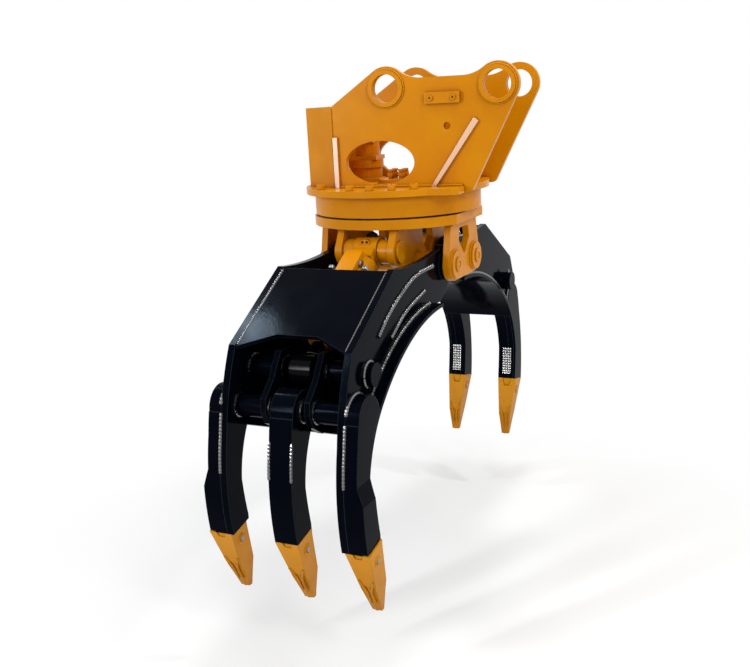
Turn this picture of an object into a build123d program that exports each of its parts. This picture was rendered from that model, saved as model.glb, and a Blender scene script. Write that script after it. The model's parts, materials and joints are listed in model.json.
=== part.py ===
import math
import os

from build123d import *

os.makedirs("parts", exist_ok=True)

# All sizes are in millimetres. Heights are above the floor under the tooth tips,
# x is the opening direction (front jaw at minus x) and y runs along the jaw pins.

# Upper bracket, drawn in its own u and w directions, which are turned about the slew axis
bracket_yaw = -85.0
stick_u = 36.0
stick_z = 1660.0
link_u = 446.0
link_z = 1657.0
ear_bore = 50.0
ear_lobe = 77.0
ear_collar = 65.0
collar_proud = 12.0
ear_gap = 330.0
ear_thick = 25.0
ear_front_u = -182.0
ear_shoulder_z = 1604.0
saddle_rise = 32.0
saddle_round = 130.0
nose_u = -326.0
nose_half = 92.0
nose_thick = 20.0
flange_radius = 352.0
flange_bottom = 1284.5
flange_thick = 23.9
flange_back_u = 318.0
flange_back_half = 285.0
heel_u = 345.0
heel_round = 20.0
wall_inset = 150.0
wall_thick = 18.0
wall_rise = 250.0
window_u = 133.0
window_z = 79.0
rib_width = 18.0
rib_proud = 12.0

# Slew drum, bearing and drive
drum_radius = 320.0
drum_wall = 20.0
drum_bottom = 1208.4
plate_radius = 325.0
plate_thick = 35.3
plate_gap = 6.5
gear_module = 5.0
ring_teeth = 84
pinion_teeth = 14
ring_outer = 250.0
roller_radius = 5.95
roller_count = 24
union_core_radius = 45.0
motor_angle = 149.0

# Pins and hangers
pivot_x = 106.5
pivot_z = 1012.4
pin_radius = 32.5
base_x = 275.0
base_z = 1083.0
base_pin_radius = 30.0
run_gap = 0.05
inner_hanger = 91.0
inner_hanger_thick = 26.0
outer_hanger = 241.0
outer_hanger_thick = 25.0
boss_radius = 52.0
boss_proud = 13.0

# Jaws
side_thick = 25.0
front_side = 200.0
rear_side = 135.0
rolled_thick = 12.0
cover_thick = 15.0
ear_radius = 72.0
rod_inset = 105.0
rod_z = 776.0
front_stub = 28.0
rear_stub = 42.0
rod_pin_radius = 27.0
open_gap = 11.0
sleeve_radius = 40.0
tube_x = 905.0
tube_z = 672.0
tube_radius = 38.0
tube_wall = 8.0
tine_crown = 75.0
tine_half = 42.0
cheek_thick = 47.0
wear_thick = 20.0
wear_top = 478.0
wear_ramp = 60.0
tine_bottom = 250.0
tooth_width = 86.0
tooth_lift = 20.0
front_tooth_y = 254.0
rear_tooth_y = 128.6
tip_thick = 24.0
tip_width = 34.0
scallop_radius = 22.0
scallop_deep = 4.0

# Cylinders
barrel_radius = 49.0
bore_radius = 40.0
rod_radius = 27.0
barrel_start = 75.0
rod_show = 126.2
gland_thick = 25.0
eye_radius = 52.0
eye_half = 45.0
rod_eye_wall = 14.0

# Derived positions
yaw = math.radians(bracket_yaw)
u_dir = (math.cos(yaw), math.sin(yaw), 0.0)
w_dir = (-math.sin(yaw), math.cos(yaw), 0.0)
ear_half = ear_gap / 2
saddle_z = stick_z + saddle_rise
ear_outer = ear_half + ear_thick
flange_top = flange_bottom + flange_thick
plate_top = drum_bottom - plate_gap
plate_bottom = plate_top - plate_thick
inner_out = inner_hanger + inner_hanger_thick
outer_out = outer_hanger + outer_hanger_thick
front_out = front_side + side_thick
rear_out = rear_side + side_thick
front_half = front_out + cheek_thick
rear_half = rear_out + 11.0
pin_end = outer_out + boss_proud
rod_x = tube_x - rod_inset
tip_x = tube_x - 25.0
row_place = Location((-stick_u * u_dir[0], -stick_u * u_dir[1], -stick_z))


def keep(builder, label):
    solid = row_place * builder.part
    solid.label = label
    export_step(solid, f"parts/{label}.step")


def earPlane(w):
    return Plane(
        origin=(w * w_dir[0], w * w_dir[1], 0),
        x_dir=u_dir,
        z_dir=(-w_dir[0], -w_dir[1], 0),
    )


def deckPlane(z):
    return Plane(origin=(0, 0, z), x_dir=u_dir, z_dir=(0, 0, 1))


def levelPlane(z):
    return Plane(origin=(0, 0, z), x_dir=(1, 0, 0), z_dir=(0, 0, 1))


def sidePlane(y):
    return Plane(origin=(0, y, 0), x_dir=(1, 0, 0), z_dir=(0, -1, 0))


def flat(points, mode=Mode.ADD):
    with BuildLine() as outline:
        Polyline(*points, close=True)
    make_face(outline.edges(), mode=mode)


def ring(center, outer, inner):
    with Locations(center):
        Circle(outer)
        Circle(inner, mode=Mode.SUBTRACT)


def tangentPoint(point, center, radius, turn):
    across = (center[0] - point[0], center[1] - point[1])
    far = math.hypot(across[0], across[1])
    angle = math.atan2(across[1], across[0]) + turn * math.asin(radius / far)
    reach = math.sqrt(far * far - radius * radius)
    return (point[0] + reach * math.cos(angle), point[1] + reach * math.sin(angle))


def outerTangent(first, first_radius, second, second_radius):
    across = (second[0] - first[0], second[1] - first[1])
    far = math.hypot(across[0], across[1])
    angle = math.atan2(across[1], across[0]) + math.acos((first_radius - second_radius) / far)
    out = (math.cos(angle), math.sin(angle))
    return (
        (first[0] + first_radius * out[0], first[1] + first_radius * out[1]),
        (second[0] + second_radius * out[0], second[1] + second_radius * out[1]),
    )


def circleCenter(a, b, c):
    d = 2 * (a[0] * (b[1] - c[1]) + b[0] * (c[1] - a[1]) + c[0] * (a[1] - b[1]))
    aa = a[0] ** 2 + a[1] ** 2
    bb = b[0] ** 2 + b[1] ** 2
    cc = c[0] ** 2 + c[1] ** 2
    x = (aa * (b[1] - c[1]) + bb * (c[1] - a[1]) + cc * (a[1] - b[1])) / d
    z = (aa * (c[0] - b[0]) + bb * (a[0] - c[0]) + cc * (b[0] - a[0])) / d
    return (x, z)


def tangentCenter(center, start, end):
    reach = math.dist(center, start)
    out = ((start[0] - center[0]) / reach, (start[1] - center[1]) / reach)
    step = (end[0] - start[0], end[1] - start[1])
    radius = -(step[0] ** 2 + step[1] ** 2) / (2 * (out[0] * step[0] + out[1] * step[1]))
    return (start[0] - out[0] * radius, start[1] - out[1] * radius)


def onCircle(center, radius, angle):
    return (center[0] + radius * math.cos(angle), center[1] + radius * math.sin(angle))


def flip(sign, point):
    return (sign * point[0], point[1])


# Inner edge of the jaws: two tangent arcs, then the flare down to the tooth
edge_start = (251.0, 882.0)
edge_mid = (tube_x - 347.0, 826.0)
edge_join = (tube_x - 104.0, 678.0)
edge_waist = (tube_x + 28.0, 420.0)
edge_flare = (tube_x + 19.0, 345.0)
edge_foot = (tube_x + 8.0, 285.0)
upper_center = circleCenter(edge_start, edge_mid, edge_join)
upper_radius = math.dist(upper_center, edge_start)
lower_center = tangentCenter(upper_center, edge_join, edge_waist)
lower_radius = math.dist(lower_center, edge_join)
start_angle = math.atan2(edge_start[1] - upper_center[1], edge_start[0] - upper_center[0])
join_angle = math.atan2(edge_join[1] - upper_center[1], edge_join[0] - upper_center[0])
waist_angle = math.atan2(edge_waist[1] - lower_center[1], edge_waist[0] - lower_center[0])
rolled_foot_z = 590.0
foot_angle = math.asin((rolled_foot_z - lower_center[1]) / lower_radius)
upper_mid = onCircle(upper_center, upper_radius, (start_angle + join_angle) / 2)
lower_mid = onCircle(lower_center, lower_radius, (join_angle + waist_angle) / 2)

# Outer edge of the jaws
cover_top = (tube_x - 343.0, 1072.0)
cover_foot = (tube_x, 873.0)
knee = (tube_x + 56.0, 742.0)
shin = (tube_x + 93.0, 590.0)
calf = (tube_x + 116.0, 420.0)
front_foot = (tube_x + 103.0, tine_bottom)
ear_low = (165.0, 880.0)
ear_heel = (92.0, 918.0)
ear_top = (pivot_x, pivot_z + ear_radius - 4)
top_dip = (tube_x - 562.0, 1060.0)
heel_touch = tangentPoint(ear_heel, (pivot_x, pivot_z), ear_radius, 1)


def jawOutline(sign):
    with BuildLine() as outline:
        ThreePointArc(flip(sign, ear_top), flip(sign, top_dip), flip(sign, cover_top))
        Line(flip(sign, cover_top), flip(sign, cover_foot))
        ThreePointArc(flip(sign, cover_foot), flip(sign, knee), flip(sign, shin))
        ThreePointArc(flip(sign, shin), flip(sign, calf), flip(sign, front_foot))
        Polyline(
            flip(sign, front_foot),
            flip(sign, (edge_foot[0], tine_bottom + tooth_lift)),
            flip(sign, edge_foot),
        )
        ThreePointArc(flip(sign, edge_foot), flip(sign, edge_flare), flip(sign, edge_waist))
        ThreePointArc(flip(sign, edge_waist), flip(sign, lower_mid), flip(sign, edge_join))
        ThreePointArc(flip(sign, edge_join), flip(sign, upper_mid), flip(sign, edge_start))
        Polyline(
            flip(sign, edge_start),
            flip(sign, ear_low),
            flip(sign, ear_heel),
            flip(sign, heel_touch),
            flip(sign, ear_top),
        )
    make_face(outline.edges())


def rolledOutline(sign):
    half_upper = (start_angle + join_angle) / 2
    half_lower = (join_angle + foot_angle) / 2
    thick_upper = upper_radius + rolled_thick
    thick_lower = lower_radius + rolled_thick
    inner_foot = flip(sign, onCircle(lower_center, lower_radius, foot_angle))
    outer_foot = flip(sign, onCircle(lower_center, thick_lower, foot_angle))
    inner_join = flip(sign, edge_join)
    outer_join = flip(sign, onCircle(lower_center, thick_lower, join_angle))
    inner_start = flip(sign, edge_start)
    outer_start = flip(sign, onCircle(upper_center, thick_upper, start_angle))
    with BuildLine() as outline:
        ThreePointArc(inner_start, flip(sign, upper_mid), inner_join)
        ThreePointArc(
            inner_join, flip(sign, onCircle(lower_center, lower_radius, half_lower)), inner_foot
        )
        Line(inner_foot, outer_foot)
        ThreePointArc(
            outer_foot, flip(sign, onCircle(lower_center, thick_lower, half_lower)), outer_join
        )
        ThreePointArc(
            outer_join, flip(sign, onCircle(upper_center, thick_upper, half_upper)), outer_start
        )
        Line(outer_start, inner_start)
    make_face(outline.edges())


def mirrored(sign, points):
    return [flip(sign, point) for point in points]


# Ear plates
heel = (heel_u, flange_bottom + 1.5)
shoulder = (ear_front_u, ear_shoulder_z)
stick = (stick_u, stick_z)
link = (link_u, link_z)
slope_touch = tangentPoint(shoulder, stick, ear_lobe, 1)
back_touch = tangentPoint(heel, link, ear_lobe, -1)
saddle_left = stick_u + math.sqrt(ear_lobe**2 - (saddle_z - stick_z) ** 2)
saddle_right = link_u - math.sqrt(ear_lobe**2 - (saddle_z - link_z) ** 2)
for name, w_top in (("near", -ear_half), ("far", ear_outer)):
    with BuildPart() as ear_plate:
        with BuildSketch(earPlane(w_top)) as ear_sketch:
            flat(
                [
                    (ear_front_u, flange_top),
                    shoulder,
                    slope_touch,
                    (stick_u, saddle_z),
                    (link_u, saddle_z),
                    back_touch,
                    heel,
                    (flange_back_u, heel[1]),
                    (flange_back_u, flange_top),
                ]
            )
            fillet(ear_sketch.vertices().sort_by_distance((heel[0], heel[1], 0))[0], heel_round)
            with Locations(stick, link):
                Circle(ear_lobe)
            corners = [
                corner
                for corner in ear_sketch.vertices()
                if abs(corner.Y - saddle_z) < 0.5 and saddle_left - 1 < corner.X < saddle_right + 1
            ]
            fillet(corners, saddle_round)
            with Locations(stick, link):
                Circle(ear_bore, mode=Mode.SUBTRACT)
            with Locations((0, flange_top + 10 + window_z)):
                Ellipse(window_u, window_z, mode=Mode.SUBTRACT)
            with Locations((260, 1521)):
                Circle(13, mode=Mode.SUBTRACT)
        extrude(amount=ear_thick)
    keep(ear_plate, f"ear_plate_{name}")

with BuildPart() as ear_collars:
    for w_top in (-ear_outer, ear_outer + collar_proud):
        with BuildSketch(earPlane(w_top)):
            ring(stick, ear_collar, ear_bore)
            ring(link, ear_collar, ear_bore)
        extrude(amount=collar_proud)
keep(ear_collars, "ear_collars")

with BuildPart() as nose_plate:
    lean = math.atan2(ear_outer - nose_half, ear_front_u - nose_u)
    inner_edge = nose_half - nose_thick * math.tan(lean / 2)
    seam_edge = ear_outer - nose_thick / math.cos(lean)
    with BuildSketch(deckPlane(flange_top)):
        flat(
            [
                (ear_front_u, -ear_outer),
                (nose_u, -nose_half),
                (nose_u, nose_half),
                (ear_front_u, ear_outer),
                (ear_front_u, seam_edge),
                (nose_u + nose_thick, inner_edge),
                (nose_u + nose_thick, -inner_edge),
                (ear_front_u, -seam_edge),
            ]
        )
    extrude(amount=ear_shoulder_z - flange_top)
keep(nose_plate, "nose_plate")

with BuildPart() as back_wall:
    slope = math.atan2(back_touch[1] - heel[1], back_touch[0] - heel_u)
    rise = (wall_rise * math.cos(slope), wall_rise * math.sin(slope))
    wall_back = heel_u - wall_inset
    with BuildSketch(earPlane(ear_half)):
        flat(
            [
                (wall_back - wall_thick, flange_top),
                (wall_back, flange_top),
                (wall_back + rise[0], flange_top + rise[1]),
                (wall_back - wall_thick + rise[0], flange_top + rise[1]),
            ]
        )
    extrude(amount=ear_gap)
keep(back_wall, "back_wall")

with BuildPart() as ear_ribs:
    for w_top in (-ear_outer, ear_outer + rib_proud):
        with BuildSketch(earPlane(w_top)):
            flat(
                [
                    (206 - rib_width / 2, flange_top),
                    (206 + rib_width / 2, flange_top),
                    (369 + rib_width / 2, 1535),
                    (369 - rib_width / 2, 1547),
                ]
            )
            flat(
                [
                    (ear_front_u + 4, flange_top),
                    (ear_front_u + 4 + rib_width, flange_top),
                    (ear_front_u + 4 + rib_width, 1494),
                    (ear_front_u + 4, 1494),
                ]
            )
        extrude(amount=rib_proud)
keep(ear_ribs, "ear_ribs")

block_low = (184, 1600)
block_high = (312, 1639)
block_thick = 18.0
screw_at = [(206, 1619.5), (290, 1619.5)]
with BuildPart() as ear_block:
    with BuildSketch(earPlane(-ear_outer)):
        flat([block_low, (block_high[0], block_low[1]), block_high, (block_low[0], block_high[1])])
    extrude(amount=block_thick)
keep(ear_block, "ear_block")

with BuildPart() as block_screws:
    with BuildSketch(earPlane(-ear_outer - block_thick)):
        with Locations(*screw_at):
            Circle(10)
    extrude(amount=7)
    with BuildSketch(earPlane(-ear_outer - block_thick - 7)):
        with Locations(*screw_at):
            RegularPolygon(5, 6)
    extrude(amount=-5, mode=Mode.SUBTRACT)

# Flange, drum and slew drive
drive_reach = gear_module * (ring_teeth - pinion_teeth) / 2
drive_angle = math.radians(motor_angle)
drive_at = (drive_reach * math.cos(drive_angle), drive_reach * math.sin(drive_angle))
bolt_circle = 328.0
bolt_shank = 10.0
bolt_angles = [61.0, 75.0, 89.0, 103.0, 131.0]
bolt_at = [
    (bolt_circle * math.cos(math.radians(s * a)), bolt_circle * math.sin(math.radians(s * a)))
    for a in bolt_angles
    for s in (-1, 1)
]
shaft_radius = 15.0
with BuildPart() as base_flange:
    with BuildSketch(deckPlane(flange_bottom)):
        Circle(flange_radius)
        flat(
            [
                (0, -flange_back_half),
                (flange_back_u - 20, -flange_back_half),
                (flange_back_u, -flange_back_half + 20),
                (flange_back_u, flange_back_half - 20),
                (flange_back_u - 20, flange_back_half),
                (0, flange_back_half),
            ]
        )
        Circle(union_core_radius + 15, mode=Mode.SUBTRACT)
        with Locations(drive_at):
            Circle(shaft_radius + 5, mode=Mode.SUBTRACT)
        with Locations(*bolt_at):
            Circle(bolt_shank + 0.5, mode=Mode.SUBTRACT)
    extrude(amount=flange_thick)
keep(base_flange, "base_flange")

with BuildPart() as flange_screws:
    with BuildSketch(deckPlane(flange_top)):
        with Locations(*bolt_at):
            Circle(15)
    extrude(amount=20)
    with BuildSketch(deckPlane(flange_top)):
        with Locations(*bolt_at):
            Circle(bolt_shank)
    extrude(amount=-flange_thick)
    with BuildSketch(deckPlane(flange_top + 20)):
        with Locations(*bolt_at):
            RegularPolygon(9, 6)
    extrude(amount=-9, mode=Mode.SUBTRACT)

with BuildPart() as socket_screws:
    add(block_screws.part)
    add(flange_screws.part)
keep(socket_screws, "socket_screws")

with BuildPart() as slew_housing:
    with BuildSketch(levelPlane(drum_bottom)):
        Circle(drum_radius)
        Circle(drum_radius - drum_wall, mode=Mode.SUBTRACT)
    extrude(amount=flange_bottom - drum_bottom)
keep(slew_housing, "slew_housing")

roller_pitch = ring_outer + roller_radius + run_gap
outer_ring_inner = roller_pitch + roller_radius + run_gap
with BuildPart() as bearing_outer_ring:
    with BuildSketch(levelPlane(drum_bottom + 8)):
        Circle(drum_radius - drum_wall)
        Circle(outer_ring_inner, mode=Mode.SUBTRACT)
    extrude(amount=flange_bottom - drum_bottom - 8)
keep(bearing_outer_ring, "bearing_outer_ring")

with BuildPart() as bearing_rollers:
    with BuildSketch(levelPlane(drum_bottom + 30)):
        with PolarLocations(roller_pitch, roller_count):
            Circle(roller_radius)
    extrude(amount=20)
keep(bearing_rollers, "bearing_rollers")

pitch_ring = gear_module * ring_teeth / 2
pitch_pinion = gear_module * pinion_teeth / 2
half_tooth = gear_module * math.pi / 4
flank = math.tan(math.radians(20))
backlash = 1.0


def toothPoints(count, pitch, first, second, grow, phase):
    points = []
    for index in range(count):
        middle = phase + index * 2 * math.pi / count
        wide_first = (half_tooth - backlash - grow * (first - pitch) * flank) / first
        wide_second = (half_tooth - backlash - grow * (second - pitch) * flank) / second
        points.append(onCircle((0, 0), first, middle - wide_first))
        points.append(onCircle((0, 0), second, middle - wide_second))
        points.append(onCircle((0, 0), second, middle + wide_second))
        points.append(onCircle((0, 0), first, middle + wide_first))
    return points


mesh_angle = yaw + drive_angle
ring_points = toothPoints(
    ring_teeth,
    pitch_ring,
    pitch_ring + 1.25 * gear_module,
    pitch_ring - gear_module,
    -1,
    mesh_angle + math.pi / ring_teeth,
)
pinion_points = toothPoints(
    pinion_teeth,
    pitch_pinion,
    pitch_pinion - 1.25 * gear_module,
    pitch_pinion + 0.8 * gear_module,
    1,
    mesh_angle,
)
ring_top = flange_bottom - 12
with BuildPart() as bearing_inner_ring:
    with BuildSketch(levelPlane(plate_top)):
        Circle(ring_outer)
        flat(ring_points, mode=Mode.SUBTRACT)
    extrude(amount=ring_top - plate_top)
keep(bearing_inner_ring, "bearing_inner_ring")

drive_world = onCircle((0, 0), drive_reach, mesh_angle)
pinion_low = plate_top + 8
gearbox_socket = 40.0
with BuildPart() as drive_pinion:
    with BuildSketch(Plane(origin=(drive_world[0], drive_world[1], pinion_low))):
        flat(pinion_points)
    extrude(amount=ring_top - pinion_low)
    with BuildSketch(Plane(origin=(drive_world[0], drive_world[1], pinion_low))):
        Circle(shaft_radius)
    extrude(amount=flange_top + gearbox_socket - 2 - pinion_low)
keep(drive_pinion, "drive_pinion")

gearbox_top = flange_top + 84
with BuildPart() as slew_gearbox:
    with BuildSketch(deckPlane(flange_top)):
        with Locations(drive_at):
            Circle(66)
    extrude(amount=14)
    with BuildSketch(deckPlane(flange_top + 14)):
        with Locations(drive_at):
            Circle(55)
    extrude(amount=40)
    with BuildSketch(deckPlane(flange_top + 54)):
        with Locations(drive_at):
            Circle(61)
    extrude(amount=30)
    with BuildSketch(deckPlane(flange_top)):
        with Locations(drive_at):
            Circle(shaft_radius + run_gap)
    extrude(amount=gearbox_socket, mode=Mode.SUBTRACT)
keep(slew_gearbox, "slew_gearbox")

motor_top = gearbox_top + 92
with BuildPart() as slew_motor:
    with BuildSketch(deckPlane(gearbox_top)):
        with Locations(drive_at):
            Rectangle(104, 104)
    extrude(amount=16)
    with BuildSketch(deckPlane(gearbox_top + 16)):
        with Locations(drive_at):
            Circle(47)
    extrude(amount=50)
    with BuildSketch(deckPlane(gearbox_top + 66)):
        with Locations(drive_at):
            Rectangle(80, 88)
    extrude(amount=26)
keep(slew_motor, "slew_motor")

port_w = drive_at[1] - 44
with BuildPart() as motor_ports:
    with BuildSketch(earPlane(port_w)):
        with Locations((drive_at[0] - 20, motor_top - 13), (drive_at[0] + 20, motor_top - 13)):
            Circle(11)
    extrude(amount=22)
    with BuildSketch(earPlane(port_w - 22)):
        with Locations((drive_at[0] - 20, motor_top - 13), (drive_at[0] + 20, motor_top - 13)):
            RegularPolygon(13, 6)
    extrude(amount=10)

union_high = 16.0
union_lid = 8.0
union_radius = 74.0
union_top = flange_top + union_high
with BuildPart() as union_housing:
    with BuildSketch(deckPlane(flange_top)):
        Circle(union_radius)
    extrude(amount=union_high)
    with BuildSketch(deckPlane(flange_top)):
        Circle(union_core_radius + run_gap)
    extrude(amount=union_high - union_lid, mode=Mode.SUBTRACT)
keep(union_housing, "union_housing")

port_at = [(-16, -26), (26, -26), (-16, 22), (26, 22)]
port_stack = [(11, 10), (15, 12), (10, 6), (13, 8)]
with BuildPart() as union_ports:
    port_low = union_top
    for port_radius, port_high in port_stack:
        with BuildSketch(deckPlane(port_low)):
            with Locations(*port_at):
                RegularPolygon(port_radius, 6)
        extrude(amount=port_high)
        port_low = port_low + port_high

with BuildPart() as hose_fittings:
    add(motor_ports.part)
    add(union_ports.part)
keep(hose_fittings, "hose_fittings")

# Lower frame
plate_chord = outer_out + 26
with BuildPart() as lower_plate:
    with BuildSketch(levelPlane(plate_bottom)):
        Circle(plate_radius)
        Rectangle(2 * plate_radius, 2 * plate_chord, mode=Mode.INTERSECT)
        Circle(union_core_radius + run_gap, mode=Mode.SUBTRACT)
    extrude(amount=plate_thick)
keep(lower_plate, "lower_plate")

core_bottom = plate_bottom - 30
with BuildPart() as union_core:
    with BuildSketch(levelPlane(core_bottom)):
        Circle(union_core_radius)
    extrude(amount=union_top - union_lid - 2 - core_bottom)
    with BuildSketch(levelPlane(core_bottom)):
        Circle(62)
    extrude(amount=30)

with BuildPart() as core_ports:
    for sign in (-1, 1):
        with BuildSketch(Plane(origin=(sign * 55, 0, 0), x_dir=(0, sign, 0), z_dir=(sign, 0, 0))):
            with Locations((-26, core_bottom + 15), (26, core_bottom + 15)):
                Circle(9)
        extrude(amount=34)
        with BuildSketch(Plane(origin=(sign * 72, 0, 0), x_dir=(0, sign, 0), z_dir=(sign, 0, 0))):
            with Locations((-26, core_bottom + 15), (26, core_bottom + 15)):
                RegularPolygon(14, 6)
        extrude(amount=9)
    add(union_core.part)
keep(core_ports, "union_core")

hanger_lobe = 62.0
hanger_top_half = 135.0
inner_lobe = 66.0
base_lobe = 55.0
pivot = (pivot_x, pivot_z)
base = (base_x, base_z)
shield = [(-48, 1141), (48, 1141), (57, 1094), (0, 1032), (-57, 1094)]


def shieldHole():
    with BuildSketch(sidePlane(0), mode=Mode.PRIVATE) as hole:
        flat(shield)
        fillet(hole.vertices(), 12)
    add(hole.sketch_local, mode=Mode.SUBTRACT)


def jawPivots():
    return Locations((-pivot_x, pivot_z), (pivot_x, pivot_z))


def basePivots():
    return Locations((-base_x, base_z), (base_x, base_z))


for name, y_top, boss_top in (
    ("near", -outer_hanger, -outer_out),
    ("far", outer_out, pin_end),
):
    with BuildPart() as hanger_outer:
        hip = tangentPoint((hanger_top_half, plate_bottom), pivot, hanger_lobe, 1)
        with BuildSketch(sidePlane(y_top)):
            flat(
                [
                    (-hanger_top_half, plate_bottom),
                    (hanger_top_half, plate_bottom),
                    hip,
                    (pivot_x, pivot_z - hanger_lobe),
                    (-pivot_x, pivot_z - hanger_lobe),
                    flip(-1, hip),
                ]
            )
            with jawPivots():
                Circle(hanger_lobe)
            shieldHole()
            with jawPivots():
                Circle(pin_radius + run_gap, mode=Mode.SUBTRACT)
        extrude(amount=outer_hanger_thick)
        with BuildSketch(sidePlane(boss_top)):
            ring((-pivot_x, pivot_z), boss_radius, pin_radius + run_gap)
            ring((pivot_x, pivot_z), boss_radius, pin_radius + run_gap)
        extrude(amount=boss_proud)
    keep(hanger_outer, f"hanger_outer_{name}")

inner_top_half = 290.0
for name, y_top in (("near", -inner_hanger), ("far", inner_out)):
    with BuildPart() as hanger_inner:
        hip = tangentPoint((inner_top_half, plate_bottom), base, base_lobe, 1)
        under = outerTangent(base, base_lobe, pivot, inner_lobe)
        with BuildSketch(sidePlane(y_top)):
            flat(
                [
                    (-inner_top_half, plate_bottom),
                    (inner_top_half, plate_bottom),
                    hip,
                    under[0],
                    under[1],
                    (pivot_x, pivot_z - inner_lobe),
                    (-pivot_x, pivot_z - inner_lobe),
                    flip(-1, under[1]),
                    flip(-1, under[0]),
                    flip(-1, hip),
                ]
            )
            with jawPivots():
                Circle(inner_lobe)
            with basePivots():
                Circle(base_lobe)
            shieldHole()
            with jawPivots():
                Circle(pin_radius + run_gap, mode=Mode.SUBTRACT)
            with basePivots():
                Circle(base_pin_radius + run_gap, mode=Mode.SUBTRACT)
        extrude(amount=inner_hanger_thick)
    keep(hanger_inner, f"hanger_inner_{name}")

with BuildPart() as jaw_pins:
    with BuildSketch(sidePlane(pin_end)):
        with jawPivots():
            Circle(pin_radius)
    extrude(amount=2 * pin_end)
    for y_top in (-pin_end, pin_end + 5):
        with BuildSketch(sidePlane(y_top)):
            with jawPivots():
                RegularPolygon(10, 6)
        extrude(amount=5)
keep(jaw_pins, "jaw_pins")

spacer_radius = 47.0
float_gap = 2.0
with BuildPart() as pin_spacers:
    for sign, low, high in (
        (-1, inner_out, front_side - float_gap),
        (1, rear_out + float_gap, outer_hanger),
    ):
        for y_top in (high, -low):
            with BuildSketch(sidePlane(y_top)):
                ring((sign * pivot_x, pivot_z), spacer_radius, pin_radius + run_gap)
            extrude(amount=high - low)
    for y_top in (inner_hanger, -eye_half - float_gap):
        with BuildSketch(sidePlane(y_top)):
            ring((-base_x, base_z), 45, base_pin_radius + run_gap)
            ring((base_x, base_z), 45, base_pin_radius + run_gap)
        extrude(amount=inner_hanger - eye_half - float_gap)
keep(pin_spacers, "pin_spacers")

with BuildPart() as base_pins:
    with BuildSketch(sidePlane(inner_out)):
        with basePivots():
            Circle(base_pin_radius)
    extrude(amount=2 * inner_out)
    for y_top in (-inner_out, inner_out + 10):
        with BuildSketch(sidePlane(y_top)):
            with Locations((-base_x, base_z)):
                Circle(40)
        extrude(amount=10)
keep(base_pins, "base_pins")

# Jaws
tine_front = tube_x + 195.0
tine_back = tube_x - 145.0
tine_zone = [
    (tine_front, tine_bottom - 50),
    (tine_front, tube_z - 7),
    (tine_back, tube_z - 7),
    (tine_back, tine_bottom - 50),
]
wear_zone = [
    (tine_front, tine_bottom + 5),
    (tine_front, wear_top),
    (tine_back, wear_top),
    (tine_back, tine_bottom + 5),
]
rib_zone = [
    (tube_x - 170, 845),
    (tube_x - 67, 845),
    (tube_x - 10, 765),
    (tube_x + 47, 715),
    (tube_x + 53, 672),
    (tube_x + 35, 628),
    (tube_x - 25, 590),
    (tube_x - 205, 690),
    (tube_x - 205, 790),
]
cover_run = math.dist(cover_top, cover_foot)
cover_dir = ((cover_foot[0] - cover_top[0]) / cover_run, (cover_foot[1] - cover_top[1]) / cover_run)
cover_out = (-cover_dir[1], cover_dir[0])
cover_sink = 4.0
notch_deep = 65.0
eye_bore = rod_pin_radius + open_gap
nose_base = (tube_x + 55.0, 62.0, 58.0)
nose_tip = (tube_x + 22.0, 32.0, 40.0)
nose_long = 82.0
tooth_pin = (tube_x + 39.0, tine_bottom - 42.0)
tooth_pin_radius = 9.0
keeper_top = 17.0
keeper_low = 11.0
keeper_deep = 16.0
waist_z = 105.0
waist_width = 55.0
waist_front = (tube_x + 40.0, waist_z)
waist_back = (tube_x - 39.0, waist_z)


def coverPoint(along, down):
    return (
        cover_top[0] + along * cover_dir[0] - down * cover_out[0],
        cover_top[1] + along * cover_dir[1] - down * cover_out[1],
    )


def blockAt(sign, y, z, center_x, long_x, wide_y):
    with BuildSketch(levelPlane(z), mode=Mode.PRIVATE) as block:
        with Locations((sign * center_x, y)):
            Rectangle(long_x, wide_y)
    return block.sketch


def tineUnderside(sign):
    slope = tooth_lift / (front_foot[0] - edge_foot[0])
    with BuildSketch(sidePlane(front_half + 50), mode=Mode.PRIVATE) as above:
        flat(
            mirrored(
                sign,
                [
                    (front_foot[0] + 60, tine_bottom - 60 * slope),
                    (edge_foot[0] - 60, tine_bottom + tooth_lift + 60 * slope),
                    (edge_foot[0] - 60, tine_bottom + 120),
                    (front_foot[0] + 60, tine_bottom + 120),
                ],
            )
        )
    extrude(above.sketch, amount=2 * (front_half + 50), mode=Mode.SUBTRACT)


def keeperBlock(sign, y, grow, front, back, mode):
    shape = [
        (y - keeper_top - grow, tine_bottom),
        (y - keeper_top - grow, tine_bottom + tooth_lift),
        (y + keeper_top + grow, tine_bottom + tooth_lift),
        (y + keeper_top + grow, tine_bottom),
        (y + keeper_low + grow, tine_bottom - keeper_deep - grow),
        (y - keeper_low - grow, tine_bottom - keeper_deep - grow),
    ]
    face = Plane(origin=(sign * back, 0, 0), x_dir=(0, sign, 0), z_dir=(sign, 0, 0))
    with BuildSketch(face, mode=Mode.PRIVATE) as keeper:
        flat([(sign * point[0], point[1]) for point in shape])
    extrude(keeper.sketch, amount=front - back, mode=mode)


def scallop(sign, y, high, low):
    run = math.dist(high, low)
    down = ((low[0] - high[0]) / run, (low[1] - high[1]) / run)
    start = (sign * high[0], y, high[1])
    with Locations(Location(start)):
        Sphere(scallop_radius, mode=Mode.SUBTRACT)
    face = Plane(origin=start, x_dir=(0, 1, 0), z_dir=(sign * down[0], 0, down[1]))
    with BuildSketch(face, mode=Mode.PRIVATE) as hollow:
        Circle(scallop_radius)
    extrude(hollow.sketch, amount=run + tine_bottom / 4, mode=Mode.SUBTRACT)


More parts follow.
